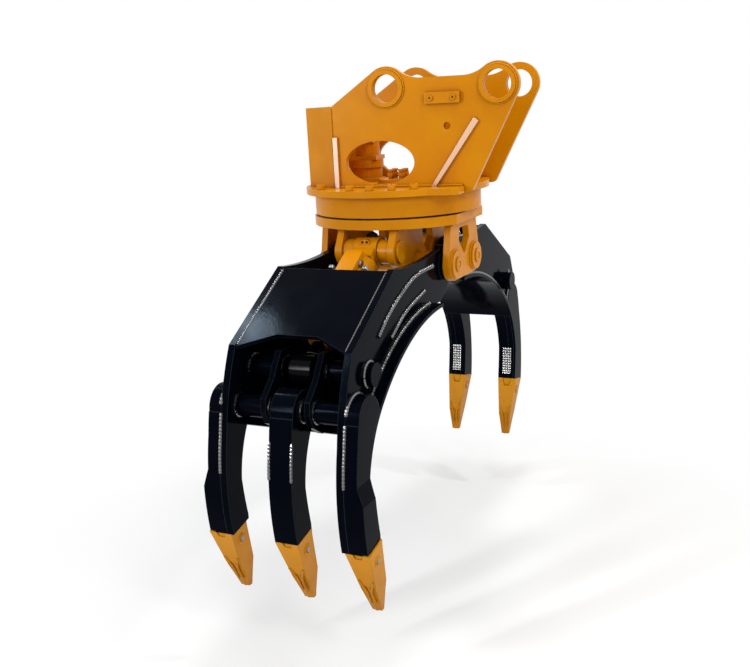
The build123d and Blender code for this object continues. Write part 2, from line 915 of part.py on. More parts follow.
def toothRows(sign, name, rows):
    with BuildPart() as adapters:
        for y in rows:
            top = blockAt(sign, y, tine_bottom, nose_base[0], nose_base[1], nose_base[2])
            low = blockAt(sign, y, tine_bottom - nose_long, nose_tip[0], nose_tip[1], nose_tip[2])
            loft([top, low])
            extrude(top, amount=tooth_lift)
            keeperBlock(sign, y, 0, front_foot[0] - 9, edge_foot[0] + 2, Mode.ADD)
        tineUnderside(sign)
        with BuildSketch(sidePlane(front_half + 50)):
            with Locations(flip(sign, tooth_pin)):
                Circle(tooth_pin_radius + run_gap)
        extrude(amount=2 * (front_half + 50), mode=Mode.SUBTRACT)
    keep(adapters, f"{name}_adapters")

    top_mid = (front_foot[0] + edge_foot[0]) / 2
    top_long = front_foot[0] - edge_foot[0]
    waist_mid = (waist_front[0] + waist_back[0]) / 2
    waist_long = waist_front[0] - waist_back[0]
    tip_front = (tip_x + tip_thick / 2, 0)
    tip_back = (tip_x - tip_thick / 2, 0)
    stand_off = scallop_radius - scallop_deep
    with BuildPart() as teeth:
        for y in rows:
            top = blockAt(sign, y, tine_bottom, top_mid, top_long, tooth_width)
            waist = blockAt(sign, y, waist_z, waist_mid, waist_long, waist_width)
            tip = blockAt(sign, y, 0, tip_x, tip_thick, tip_width)
            loft([top, waist])
            loft([waist, tip])
            extrude(top, amount=tooth_lift)
        tineUnderside(sign)
        for y in rows:
            top = blockAt(sign, y, tine_bottom, nose_base[0], nose_base[1] + 2, nose_base[2] + 2)
            low = blockAt(
                sign, y, tine_bottom - nose_long - 1, nose_tip[0], nose_tip[1] + 2, nose_tip[2] + 2
            )
            loft([top, low], mode=Mode.SUBTRACT)
            extrude(top, amount=tooth_lift, mode=Mode.SUBTRACT)
            keeperBlock(sign, y, 1, front_foot[0] + 20, edge_foot[0] - 40, Mode.SUBTRACT)
            for side_y in (y - tip_width * 0.42, y + tip_width * 0.42):
                slope = math.atan2(waist_front[1], waist_front[0] - tip_front[0])
                off = (stand_off * math.sin(slope), -stand_off * math.cos(slope))
                scallop(
                    sign,
                    side_y,
                    (waist_front[0] + off[0], waist_front[1] + off[1]),
                    (tip_front[0] + off[0], tip_front[1] + off[1]),
                )
                scallop(
                    sign,
                    side_y,
                    (waist_back[0] - stand_off, waist_back[1]),
                    (tip_back[0] - stand_off, tip_back[1]),
                )
        with BuildSketch(sidePlane(front_half + 50)):
            with Locations(flip(sign, tooth_pin)):
                Circle(tooth_pin_radius + run_gap)
        extrude(amount=2 * (front_half + 50), mode=Mode.SUBTRACT)
    keep(teeth, f"{name}_teeth")

    with BuildPart() as tooth_pins:
        for y in rows:
            with BuildSketch(sidePlane(y + tooth_width / 2)):
                with Locations(flip(sign, tooth_pin)):
                    Circle(tooth_pin_radius)
            extrude(amount=tooth_width)
    keep(tooth_pins, f"{name}_tooth_pins")


def buildJaw(sign, name, side, half, ribs):
    out = side + side_thick
    with BuildPart() as inner_plate:
        with BuildSketch(sidePlane(half)):
            rolledOutline(sign)
        extrude(amount=2 * half)
    keep(inner_plate, f"{name}_inner_plate")

    boss_reach = outer_hanger - float_gap
    for label, y_top, boss_top in (("near", -side, -out), ("far", out, boss_reach)):
        with BuildPart() as side_plate:
            with BuildSketch(sidePlane(y_top)):
                jawOutline(sign)
                with Locations(flip(sign, pivot)):
                    Circle(ear_radius)
                    Circle(pin_radius + run_gap, mode=Mode.SUBTRACT)
                with Locations(flip(sign, (rod_x, rod_z))):
                    Circle(rod_pin_radius + run_gap, mode=Mode.SUBTRACT)
            extrude(amount=side_thick)
            if ribs:
                with BuildSketch(sidePlane(boss_top)):
                    ring(flip(sign, pivot), 60, pin_radius + run_gap)
                extrude(amount=boss_reach - out)
            add(inner_plate.part, mode=Mode.SUBTRACT)
        keep(side_plate, f"{name}_side_{label}")

    with BuildPart() as cover:
        with BuildSketch(sidePlane(side)):
            flat(
                mirrored(
                    sign,
                    [
                        coverPoint(4, cover_sink),
                        coverPoint(cover_run, cover_sink),
                        coverPoint(cover_run, cover_sink + cover_thick),
                        coverPoint(4, cover_sink + cover_thick),
                    ],
                )
            )
        extrude(amount=2 * side)
        notch_at = flip(sign, coverPoint(cover_run, 0))
        up_slope = (-sign * cover_dir[0], 0, -cover_dir[1])
        outward = (sign * cover_out[0], 0, cover_out[1])
        with BuildSketch(Plane(origin=(notch_at[0], 0, notch_at[1]), x_dir=up_slope, z_dir=outward)):
            flat(
                [
                    (-1, -side),
                    (0, -side),
                    (notch_deep, -side * 0.37),
                    (notch_deep, side * 0.37),
                    (0, side),
                    (-1, side),
                ]
            )
        extrude(amount=-60, mode=Mode.SUBTRACT)
    keep(cover, f"{name}_cover")

    with BuildPart() as rod_pin:
        pin_reach = out + (front_stub if ribs else rear_stub)
        with BuildSketch(sidePlane(pin_reach)):
            with Locations(flip(sign, (rod_x, rod_z))):
                Circle(rod_pin_radius)
        extrude(amount=2 * pin_reach)
    keep(rod_pin, f"{name}_rod_pin")

    rib_in = 70.0
    rib_thick = 20.0
    sleeve_low = rib_in + rib_thick if ribs else eye_half + 5
    with BuildPart() as sleeves:
        for y_top in (side, -sleeve_low):
            with BuildSketch(sidePlane(y_top)):
                ring(flip(sign, (rod_x, rod_z)), sleeve_radius, rod_pin_radius + run_gap)
            extrude(amount=side - sleeve_low)
        for y_top in (pin_reach, -out):
            with BuildSketch(sidePlane(y_top)):
                ring(flip(sign, (rod_x, rod_z)), sleeve_radius, rod_pin_radius + run_gap)
            extrude(amount=pin_reach - out)
    keep(sleeves, f"{name}_pin_sleeves")

    with BuildPart() as lower_tube:
        with BuildSketch(sidePlane(side)):
            ring(flip(sign, (tube_x, tube_z)), tube_radius, tube_radius - tube_wall)
        extrude(amount=2 * side)
    keep(lower_tube, f"{name}_lower_tube")

    if ribs:
        with BuildPart() as mid_ribs:
            for y_top in (rib_in + rib_thick, -rib_in):
                with BuildSketch(sidePlane(y_top)):
                    jawOutline(sign)
                    flat(mirrored(sign, rib_zone), mode=Mode.INTERSECT)
                    with Locations(flip(sign, (rod_x, rod_z))):
                        Circle(rod_pin_radius + run_gap, mode=Mode.SUBTRACT)
                    with Locations(flip(sign, (tube_x, tube_z))):
                        Circle(tube_radius + run_gap, mode=Mode.SUBTRACT)
                extrude(amount=rib_thick)
            add(inner_plate.part, mode=Mode.SUBTRACT)
        keep(mid_ribs, f"{name}_ribs")
    return inner_plate


def tineSlab(sign, y_low, y_high, inner_plate, crowned, hole):
    with BuildSketch(sidePlane(y_high), mode=Mode.PRIVATE) as zone:
        if crowned:
            flat(mirrored(sign, tine_zone))
            with Locations(flip(sign, (tube_x, tube_z - 7))):
                Circle(tine_crown)
        else:
            flat(mirrored(sign, wear_zone))
    with BuildPart() as slab:
        with BuildSketch(sidePlane(y_high)):
            jawOutline(sign)
            add(zone.sketch_local, mode=Mode.INTERSECT)
            if hole:
                with Locations(flip(sign, (tube_x, tube_z))):
                    Circle(tube_radius + run_gap, mode=Mode.SUBTRACT)
        extrude(amount=y_high - y_low)
        add(inner_plate.part, mode=Mode.SUBTRACT)
    return slab.part


def wearRamp(turn):
    wedge = [
        (turn * front_half, wear_top),
        (turn * wear_half, wear_top),
        (turn * wear_half, wear_top - wear_ramp),
    ]
    face = Plane(origin=(-tine_front, 0, 0), x_dir=(0, 1, 0), z_dir=(1, 0, 0))
    with BuildSketch(face, mode=Mode.PRIVATE) as ramp:
        flat(wedge)
    extrude(ramp.sketch, amount=tine_front - tine_back, mode=Mode.SUBTRACT)


front_inner = buildJaw(-1, "front", front_side, front_half, True)
wear_half = front_half + wear_thick
with BuildPart() as front_tine_mid:
    add(tineSlab(-1, -tine_half, tine_half, front_inner, True, True))
keep(front_tine_mid, "front_tine_mid")
with BuildPart() as front_tine_near:
    add(tineSlab(-1, -front_half, -front_out, front_inner, True, False))
    add(tineSlab(-1, -wear_half, -front_half, front_inner, False, False))
    wearRamp(-1)
keep(front_tine_near, "front_tine_near")
with BuildPart() as front_tine_far:
    add(tineSlab(-1, front_out, front_half, front_inner, True, False))
    add(tineSlab(-1, front_half, wear_half, front_inner, False, False))
    wearRamp(1)
keep(front_tine_far, "front_tine_far")
toothRows(-1, "front", [-front_tooth_y, 0, front_tooth_y])

rear_inner = buildJaw(1, "rear", rear_side, rear_half, False)
rear_cheek = 2 * rear_tooth_y - rear_half
with BuildPart() as rear_tine_near:
    add(tineSlab(1, -rear_side, -rear_cheek, rear_inner, True, True))
    add(tineSlab(1, -rear_half, -rear_out, rear_inner, True, False))
keep(rear_tine_near, "rear_tine_near")
with BuildPart() as rear_tine_far:
    add(tineSlab(1, rear_cheek, rear_side, rear_inner, True, True))
    add(tineSlab(1, rear_out, rear_half, rear_inner, True, False))
keep(rear_tine_far, "rear_tine_far")
toothRows(1, "rear", [-rear_tooth_y, rear_tooth_y])

# Cylinders
cylinder_long = math.dist((base_x, base_z), (rod_x, rod_z))
axis_x = (rod_x - base_x) / cylinder_long
axis_z = (rod_z - base_z) / cylinder_long
barrel_end = cylinder_long - rod_show - gland_thick


def buildCylinder(sign, name):
    def along(step):
        return Plane(
            origin=(sign * (base_x + step * axis_x), 0, base_z + step * axis_z),
            x_dir=(0, 1, 0),
            z_dir=(sign * axis_x, 0, axis_z),
        )

    with BuildPart() as cylinder_base:
        with BuildSketch(along(barrel_start)):
            Circle(barrel_radius)
        extrude(amount=20)
        with BuildSketch(along(0)):
            Rectangle(2 * eye_half - 10, 2 * barrel_radius - 12)
        extrude(amount=barrel_start)
        with BuildSketch(sidePlane(eye_half)):
            with Locations((sign * base_x, base_z)):
                Circle(eye_radius)
        extrude(amount=2 * eye_half)
        with BuildSketch(sidePlane(eye_half)):
            with Locations((sign * base_x, base_z)):
                Circle(base_pin_radius + run_gap)
        extrude(amount=2 * eye_half, mode=Mode.SUBTRACT)
    keep(cylinder_base, f"{name}_cylinder_base")

    with BuildPart() as barrel:
        with BuildSketch(along(barrel_start + 20)):
            Circle(barrel_radius)
            Circle(bore_radius, mode=Mode.SUBTRACT)
        extrude(amount=barrel_end - barrel_start - 20)
        with BuildSketch(along(barrel_end)):
            Circle(barrel_radius)
            Circle(rod_radius + run_gap, mode=Mode.SUBTRACT)
        extrude(amount=gland_thick)
    keep(barrel, f"{name}_barrel")

    piston_start = barrel_start + 30
    piston_long = 50.0
    rod_start = piston_start + piston_long
    with BuildPart() as rod:
        with BuildSketch(along(piston_start)):
            Circle(bore_radius - run_gap)
        extrude(amount=piston_long)
        with BuildSketch(along(rod_start)):
            Circle(rod_radius)
        extrude(amount=cylinder_long - eye_bore - 6 - rod_start)
        with BuildSketch(sidePlane(eye_half - 7)):
            ring((sign * rod_x, rod_z), eye_bore + rod_eye_wall, eye_bore)
        extrude(amount=2 * (eye_half - 7))
    keep(rod, f"{name}_rod")


buildCylinder(-1, "front")
buildCylinder(1, "rear")
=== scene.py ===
import json
import math

import bpy
from mathutils import Matrix, Vector


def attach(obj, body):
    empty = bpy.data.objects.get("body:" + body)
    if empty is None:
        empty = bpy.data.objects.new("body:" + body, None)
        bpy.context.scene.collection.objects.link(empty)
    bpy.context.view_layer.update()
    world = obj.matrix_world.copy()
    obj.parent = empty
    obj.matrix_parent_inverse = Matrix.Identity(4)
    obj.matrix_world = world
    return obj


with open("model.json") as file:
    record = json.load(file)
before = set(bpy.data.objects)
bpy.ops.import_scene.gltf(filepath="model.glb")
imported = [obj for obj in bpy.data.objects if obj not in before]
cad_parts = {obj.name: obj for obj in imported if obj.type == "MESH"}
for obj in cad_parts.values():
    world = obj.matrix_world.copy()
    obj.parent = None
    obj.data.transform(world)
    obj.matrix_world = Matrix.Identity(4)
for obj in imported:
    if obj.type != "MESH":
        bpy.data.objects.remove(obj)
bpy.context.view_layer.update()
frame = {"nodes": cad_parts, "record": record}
nodes = frame["nodes"]
scene = bpy.context.scene
print("grapple frame loaded:", len(nodes), "nodes")

# Drawings of the added pieces count in millimetres from the slew axis and the tooth tips
tipShift = Vector((-0.003138, 0.035863, -1.66))


def toLinear(hexText):
    parts = [int(hexText[i:i + 2], 16) / 255 for i in (1, 3, 5)]
    return [c / 12.92 if c <= 0.04045 else ((c + 0.055) / 1.055) ** 2.4 for c in parts] + [1.0]


def addNode(tree, kind, settings=None, links=None):
    node = tree.nodes.new(kind)
    for key, value in (settings or {}).items():
        if key.startswith("in:"):
            name = key[3:]
            node.inputs[int(name) if name.isdigit() else name].default_value = value
        else:
            setattr(node, key, value)
    for key, source in (links or {}).items():
        tree.links.new(source, node.inputs[int(key) if key.isdigit() else key])
    return node


def startMaterial(name):
    material = bpy.data.materials.new(name)
    material.use_nodes = True
    material.node_tree.nodes.clear()
    return material, material.node_tree


def endMaterial(tree, settings, links):
    shader = addNode(tree, "ShaderNodeBsdfPrincipled", settings, links)
    addNode(tree, "ShaderNodeOutputMaterial", None, {"Surface": shader.outputs[0]})


def objectPlace(tree):
    return addNode(tree, "ShaderNodeTexCoord").outputs["Object"]


def noise(tree, place, grainMm, detail, roughness=0.5):
    return addNode(tree, "ShaderNodeTexNoise", {
        "in:Scale": 1000 / grainMm, "in:Detail": detail, "in:Roughness": roughness},
        {"Vector": place}).outputs["Fac"]


def remap(tree, value, source=(0.0, 1.0), target=(0.0, 1.0), ease="LINEAR"):
    return addNode(tree, "ShaderNodeMapRange", {
        "interpolation_type": ease, "in:From Min": source[0], "in:From Max": source[1],
        "in:To Min": target[0], "in:To Max": target[1]}, {"Value": value}).outputs[0]


def combine(tree, operation, first, second):
    return addNode(tree, "ShaderNodeMath", {"operation": operation}, {"0": first, "1": second}).outputs[0]


# Each colour is a hex text or the output of another node
def mixColours(tree, share, first, second):
    settings, links = {"data_type": "RGBA"}, {"0": share}
    for socket, colour in (("6", first), ("7", second)):
        if isinstance(colour, str):
            settings["in:" + socket] = toLinear(colour)
        else:
            links[socket] = colour
    return addNode(tree, "ShaderNodeMix", settings, links).outputs[2]


relief = {"samples": 4, "depth": 0.001}


# Softened edges, and a bump on top of them
def roughSkin(tree, height, strength, edgeMm):
    edge = addNode(tree, "ShaderNodeBevel", {
        "samples": relief["samples"], "in:Radius": edgeMm / 1000}).outputs[0]
    bump = addNode(tree, "ShaderNodeBump", {"in:Strength": strength, "in:Distance": relief["depth"]}, {
        "Height": height, "Normal": edge}).outputs[0]
    return edge, bump


# Sprayed gloss enamel over plate steel: even colour, a little orange peel, painted shade in the corners and a
# painted highlight along the edges
enamel = {"cloudDetail": 3.0, "cloudRoughness": 0.55, "tone": (0.35, 0.68), "gloss": (0.3, 0.7),
          "cornerSamples": 6, "corner": (0.35, 0.8), "peelDetail": 1.0, "edge": (0.78, 0.97)}


def glossEnamel(name, look):
    material, tree = startMaterial(name)
    place = objectPlace(tree)
    cloud = noise(tree, place, look["cloudMm"], enamel["cloudDetail"], enamel["cloudRoughness"])
    body = mixColours(tree, remap(tree, cloud, enamel["tone"]), look["colour"], look["shade"])
    # the AO mask darkens the orange into painted shade in corners and under welds; on the black it lays a
    # faint brown grime
    corner = addNode(tree, "ShaderNodeAmbientOcclusion", {
        "samples": enamel["cornerSamples"], "in:Distance": look["cornerMm"] / 1000})
    depth = remap(tree, corner.outputs["AO"], enamel["corner"], (look["cornerShadeAndGrime"], 0.0))
    cornerShadedAndGrimed = mixColours(tree, depth, body, look["cornerShadeAndGrimeColour"])
    # a real orange peel is about 2 mm and too fine for the render, so it is drawn coarser
    peel = noise(tree, place, look["peelMm"], enamel["peelDetail"])
    edge, bump = roughSkin(tree, peel, look["peel"], look["edgeMm"])
    gloss = remap(tree, cloud, enamel["gloss"],
                  (look["roughness"] - look["spread"], look["roughness"] + look["spread"]))
    # pale lines where the bevel normal turns from the face, on plate edges and inner corners: a painted
    # highlight
    flank = addNode(tree, "ShaderNodeNewGeometry").outputs["Normal"]
    turned = addNode(tree, "ShaderNodeVectorMath", {"operation": "DOT_PRODUCT"}, {"0": edge, "1": flank})
    rim = remap(tree, turned.outputs["Value"], enamel["edge"], (look["rim"], 0.0))
    edgeHighlighted = mixColours(tree, rim, cornerShadedAndGrimed, look["edgeHighlightColour"])
    endMaterial(tree, {
        "in:IOR": look["ior"], "in:Specular IOR Level": look["shine"],
        "in:Specular Tint": toLinear(look["glint"])},
        {"Base Color": edgeHighlighted, "Roughness": gloss, "Normal": bump})
    return material


# the corner colour here is painted shade, and the edge colour a painted highlight
orangeLook = {"colour": "#cf8402", "shade": "#c67a00", "cornerShadeAndGrimeColour": "#6e3a02", "cornerShadeAndGrime": 0.6,
              "cornerMm": 30, "cloudMm": 130, "peelMm": 7, "peel": 0.06, "edgeMm": 2.5,
              "roughness": 0.28, "spread": 0.06, "shine": 0.1, "ior": 1.5, "glint": "#ffffff",
              "rim": 0.5, "edgeHighlightColour": "#e9b24a"}
# the black paint mirrors the surround a little blue; its corner colour is a faint brown grime and its edge
# colour a painted highlight
blackLook = {"colour": "#02040a", "shade": "#04060d", "cornerShadeAndGrimeColour": "#0a0806", "cornerShadeAndGrime": 0.4,
             "cornerMm": 25, "cloudMm": 90, "peelMm": 9, "peel": 0.10, "edgeMm": 3.0,
             "roughness": 0.12, "spread": 0.04, "shine": 0.022, "ior": 1.5, "glint": "#a6bfe9",
             "rim": 0.55, "edgeHighlightColour": "#46525f"}
# paint runs thicker and glossier over a bead, so beads glint against the plate
weldLook = {**blackLook, "roughness": 0.2, "shine": 1.0, "ior": 1.85, "glint": "#ffffff",
            "edgeMm": 0.5, "rim": 0.0}
# the ears' flat bars have a thick satin coat that glints pale
barLook = {**orangeLook, "roughness": 0.42, "shine": 1.0, "ior": 2.2, "peel": 0.2, "rim": 0.0}
orangeEnamel = glossEnamel("orange gloss enamel", orangeLook)
barEnamel = glossEnamel("orange satin enamel on flat bars", barLook)
blackEnamel = glossEnamel("black gloss enamel", blackLook)
weldEnamel = glossEnamel("black gloss enamel on weld beads", weldLook)


# Dip-painted tooth castings: satin yellow over a sandy skin, browner in patches towards the tip at the bottom
def toothPaint(name, look):
    material, tree = startMaterial(name)
    place = objectPlace(tree)
    height = addNode(tree, "ShaderNodeSeparateXYZ", None, {"0": place}).outputs["Z"]
    fade = remap(tree, height, (look["tipZ"], look["baseZ"]), (1.0, 0.0))
    sand = noise(tree, place, look["patchMm"], look["patchDetail"])
    body = mixColours(tree, combine(tree, "MULTIPLY", fade, sand), look["colour"], look["tipColour"])
    grit = noise(tree, place, look["gritMm"], look["gritDetail"])
    bump = roughSkin(tree, grit, look["bump"], look["edgeMm"])[1]
    endMaterial(tree, {
        "in:IOR": look["ior"], "in:Roughness": look["roughness"], "in:Specular IOR Level": look["shine"]},
        {"Base Color": body, "Normal": bump})
    return material


toothLook = {"colour": "#c9850a", "tipColour": "#8c5006", "tipZ": -1.67, "baseZ": -1.40,
             "patchMm": 45, "patchDetail": 4.0, "gritMm": 5, "gritDetail": 2.0, "bump": 0.18,
             "edgeMm": 4, "ior": 1.5, "roughness": 0.42, "shine": 0.12}
yellowPaint = toothPaint("yellow tooth paint", toothLook)


# Bare metals: turned bearing steel and rough cast steel
metal = {"grainDetail": 3.0, "smoothest": 0.8, "roughest": 1.25, "edgeMm": 1.5}


def bareMetal(name, look):
    material, tree = startMaterial(name)
    grain = noise(tree, objectPlace(tree), look["grainMm"], metal["grainDetail"])
    body = mixColours(tree, grain, look["colour"], look["shade"])
    gloss = remap(tree, grain, target=(look["roughness"] * metal["smoothest"],
                                       look["roughness"] * metal["roughest"]))
    bump = roughSkin(tree, grain, look["bump"], metal["edgeMm"])[1]
    endMaterial(tree, {"in:Metallic": 1.0}, {"Base Color": body, "Roughness": gloss, "Normal": bump})
    return material


turnedSteel = bareMetal("turned steel", {
    "colour": "#9b9b9d", "shade": "#85868a", "grainMm": 6, "roughness": 0.34, "bump": 0.05})
castSteel = bareMetal("cast steel", {
    "colour": "#4a4a4b", "shade": "#38383a", "grainMm": 5, "roughness": 0.55, "bump": 0.25})


# Hard chrome on the ground rod, and the jaw's black enamel over its welded eye
def chromedRod(name, look):
    material, tree = startMaterial(name)
    place = objectPlace(tree)
    spot = addNode(tree, "ShaderNodeSeparateXYZ", None, {"0": place})
    # both rods share one drawing, so places count from the slew axis whichever side they are on
    across = addNode(tree, "ShaderNodeMath", {"operation": "ADD", "in:1": -tipShift.x}, {
        "0": spot.outputs["X"]})
    reach = addNode(tree, "ShaderNodeMath", {"operation": "ABSOLUTE"}, {"0": across.outputs[0]})
    flat = addNode(tree, "ShaderNodeCombineXYZ", None, {"X": reach.outputs[0], "Z": spot.outputs["Z"]})
    far = addNode(tree, "ShaderNodeVectorMath", {"operation": "DISTANCE", "in:1": look["eyeAt"]}, {
        "0": flat.outputs[0]})
    bare = remap(tree, far.outputs["Value"], (look["eyeReach"], look["eyeReach"] + look["eyeFade"]))
    body = mixColours(tree, bare, look["eyeColour"], look["colour"])
    # the ground finish runs round the rod in fine bands, drawn coarser than they are
    bands = noise(tree, place, look["bandMm"], look["bandDetail"])
    gloss = remap(tree, bands, target=look["roughness"])
    endMaterial(tree, {"in:Specular IOR Level": look["shine"]}, {
        "Base Color": body, "Metallic": bare, "Roughness": gloss})
    return material


hardChrome = chromedRod("hard chrome", {
    "colour": "#d4d6d9", "eyeColour": "#040507", "eyeAt": (0.8, 0, -0.884), "eyeReach": 0.058,
    "eyeFade": 0.003, "bandMm": 12, "bandDetail": 2.0, "roughness": (0.08, 0.2), "shine": 0.05})

finishes = {"orange_enamel": orangeEnamel, "black_enamel": blackEnamel, "tooth_paint": yellowPaint,
            "cast_steel": castSteel, "machined_steel": turnedSteel, "chromed_steel": hardChrome}
for part in frame["record"]["subparts"]:
    mesh = nodes[part["node"]].data
    mesh.materials.clear()
    mesh.materials.append(finishes[part["material_slot"]])
# only the adapters' keepers show, and they are painted over with the teeth
for name in ("front_adapters", "rear_adapters"):
    nodes[name].data.materials[0] = yellowPaint
nodes["ear_ribs"].data.materials[0] = barEnamel
print("finishes set on the packed nodes")


def at(x, y, z):
    return Vector((x, y, z)) / 1000 + tipShift


# The ears are turned about the slew axis: u runs along them, w across them
earTurn = {"cos": 0.08716, "sin": 0.99619}


def onEar(u, w, z):
    c, s = earTurn["cos"], earTurn["sin"]
    return at(c * u + s * w, c * w - s * u, z)


def clearSelection():
    bpy.ops.object.select_all(action="DESELECT")


def pickOnly(piece):
    clearSelection()
    piece.select_set(True)
    bpy.context.view_layer.objects.active = piece


def joinPieces(parts):
    clearSelection()
    for part in parts:
        part.select_set(True)
    bpy.context.view_layer.objects.active = parts[0]
    if len(parts) > 1:
        bpy.ops.object.join()
    return bpy.context.object


def fitPiece(piece, name, body, material, angle):
    pickOnly(piece)
    bpy.ops.object.transform_apply(location=True, rotation=True, scale=True)
    bpy.ops.object.shade_smooth_by_angle(angle=math.radians(angle))
    piece.name = name
    piece.data.name = name
    piece.data.materials.clear()
    piece.data.materials.append(material)
    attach(piece, body)


def twinOf(piece):
    twin = piece.copy()
    twin.data = piece.data.copy()
    scene.collection.objects.link(twin)
    return twin


def copiesOf(piece, places):
    made = []
    for place in places:
        twin = twinOf(piece)
        twin.data.transform(place)
        made.append(twin)
    bpy.data.objects.remove(piece)
    return made


def facing(place, outward, spin=0.0):
    turn = outward.to_track_quat("Z", "Y").to_matrix().to_4x4()
    return Matrix.Translation(place) @ turn @ Matrix.Rotation(spin, 4, "Z")


def axes(x, y):
    return Matrix((x, y, x.cross(y))).transposed().to_4x4()


def faceMode(piece, test):
    bpy.ops.object.mode_set(mode="EDIT")
    bpy.ops.mesh.select_mode(type="FACE")
    bpy.ops.mesh.select_all(action="DESELECT")
    bpy.ops.object.mode_set(mode="OBJECT")
    for face in piece.data.polygons:
        face.select = test(face)
    bpy.ops.object.mode_set(mode="EDIT")


def topFace(piece):
    high = max(face.center.z for face in piece.data.polygons)
    return lambda face: face.center.z > high - 1e-6


def extrude(x, y, z):
    bpy.ops.mesh.extrude_region_move(TRANSFORM_OT_translate={"value": (x / 1000, y / 1000, z / 1000)})


def roundEdges(piece, width, segments=2):
    bevel = piece.modifiers.new("edge", "BEVEL")
    bevel.width, bevel.segments = width / 1000, segments
    bpy.ops.object.modifier_apply(modifier=bevel.name)


# A round bar bent about the Z axis
def spunBar(thick, radius, angle, sides, steps):
    clearSelection()
    bpy.ops.mesh.primitive_circle_add(vertices=sides, radius=thick / 1000, fill_type="NGON",
                                      location=(radius / 1000, 0, 0), rotation=(math.pi / 2, 0, 0))
    bar = bpy.context.object
    bpy.ops.object.transform_apply(location=True, rotation=True, scale=True)
    bpy.ops.object.mode_set(mode="EDIT")
    bpy.ops.mesh.select_all(action="SELECT")
    bpy.ops.mesh.spin(steps=steps, angle=angle, center=(0, 0, 0), axis=(0, 0, 1))
    bpy.ops.mesh.select_all(action="SELECT")
    bpy.ops.mesh.normals_make_consistent(inside=False)
    bpy.ops.object.mode_set(mode="OBJECT")
    return bar


# Weld beads: stacked half-moon ripples laid by hand and painted over with the plate
bead = {"ripple": 0.012, "stepsPerRipple": 4, "swell": 0.34}


def smoothPath(points, steps=14):
    path = []
    ends = [points[0] * 2 - points[1]] + points + [points[-1] * 2 - points[-2]]
    for a, b, c, d in zip(ends, ends[1:], ends[2:], ends[3:]):
        for k in range(steps):
            t = k / steps
            path.append(0.5 * (2 * b + (c - a) * t + (2 * a - 5 * b + 4 * c - d) * t * t
                               + (3 * b - a - 3 * c + d) * t ** 3))
    return path + [points[-1]]


def arcPath(centre, radius, start, end, side, y, steps=40):
    turns = [math.radians(start + (end - start) * k / steps) for k in range(steps + 1)]
    return [at(side * (centre[0] + radius * math.cos(a)), y, centre[1] + radius * math.sin(a))
            for a in turns]


def weldRun(path, size, swell=bead["swell"]):
    step = bead["ripple"] / bead["stepsPerRipple"]
    samples, left = [path[0]], 0.0
    for a, b in zip(path, path[1:]):
        span = (b - a).length
        reach = step - left
        while reach < span:
            samples.append(a.lerp(b, reach / span))
            reach += step
        left = span - (reach - step)
    bpy.ops.curve.primitive_nurbs_path_add()
    run = bpy.context.object
    run.data.splines.clear()
    spline = run.data.splines.new("POLY")
    spline.points.add(len(samples) - 1)
    for k, place in enumerate(samples):
        ripple = k % bead["stepsPerRipple"] / (bead["stepsPerRipple"] - 1)
        spline.points[k].co = (*place, 1)
        spline.points[k].radius = 1 - swell / 2 + swell * ripple
    run.data.fill_mode = "FULL"
    run.data.bevel_depth = size / 1000
    run.data.bevel_resolution = 1
    run.data.use_fill_caps = True
    bpy.ops.object.convert(target="MESH")
    return bpy.context.object


def weldRing(centre, radius, y, size, side):
    return weldRun(arcPath(centre, radius, 0, 360, side, y), size)


# Both jaws are drawn as the one at +x, and side mirrors the drawing for the one at -x
rodPin, crossTube = (800, 776), (905, 672)
jawRows = (("front_jaw", -1, (-254, 0, 254)), ("rear_jaw", 1, (-128.6, 128.6)))
jawRim = {"upper": (260.4, 63.8), "upperRadius": 818.2, "lower": (540.3, 381.9), "lowerRadius": 394.5,
          "start": 89.0, "join": 48.64, "foot": 29.0, "outside": 15, "proud": 2, "size": 7.5}
plateArcs = {"size": 7.5, "proud": 1, "lines": [
    [(225, 1027), (393, 1019), (528, 979), (632, 933), (719, 878)],
    [(311, 952), (492, 912), (624, 850)]]}
cheekCrown = {"arc": ((905, 665), 77, 20, 172), "size": 6}
coverSeam = {"line": [(570, 1062), (735, 966), (897, 872)], "inside": 1, "size": 5}
tineSeam = {"knee": ((102.7, 452.6), 905.75, 13.5, 8.75), "calf": ((208.5, 396.6), 812.8, 13.76, 5.0),
            "size": 5}
stubRing = {"radius": 42, "off": 227, "size": 6}
tubeRings = {"pinRadius": 41, "tubeRadius": 39, "size": 4.5}
middleTine = {"seam": 41, "ring": 45}
jawWelds = {
    "front_jaw": {"side": -1, "plate": 225, "half": 200, "rings": (72, 92, 198), "middle": True},
    "rear_jaw": {"side": 1, "plate": 160, "half": 135, "rings": (60, 132), "middle": False}}
